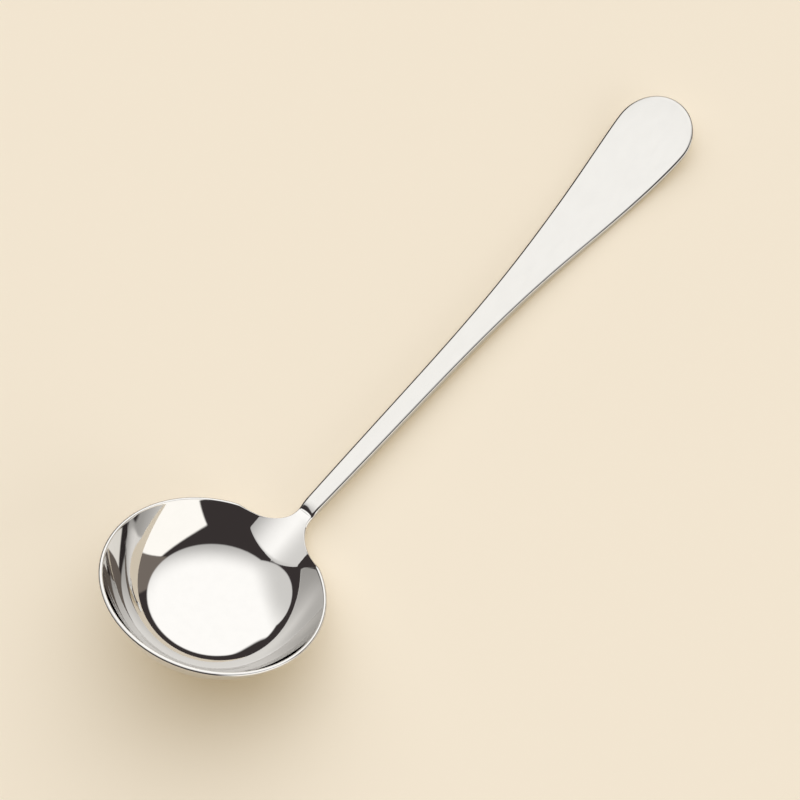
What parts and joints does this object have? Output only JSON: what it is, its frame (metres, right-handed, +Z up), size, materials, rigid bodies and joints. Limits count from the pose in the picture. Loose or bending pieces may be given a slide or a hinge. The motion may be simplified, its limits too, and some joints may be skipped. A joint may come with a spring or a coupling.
{
  "type": "soup spoon",
  "caption": "Round-bowled soup spoon in polished steel, with a short trough neck and a flat handle that widens to a rounded end.",
  "frame": {"origin": "on the surface the spoon rests on, under the middle of its length and width", "axes": "+X from the bowl to the tip of the handle, +Y across the spoon, +Z up with the bowl open upwards"},
  "size_m": [0.201, 0.055, 0.0316],
  "materials": {
    "bowl_steel": "mirror polished stainless steel",
    "weld_steel": "ground and polished stainless steel weld",
    "handle_steel": "polished stainless steel"
  },
  "bodies": {
    "root": {"bowl": "bowl_steel", "neck_weld": "weld_steel", "handle": "handle_steel"}
  },
  "joints": []
}
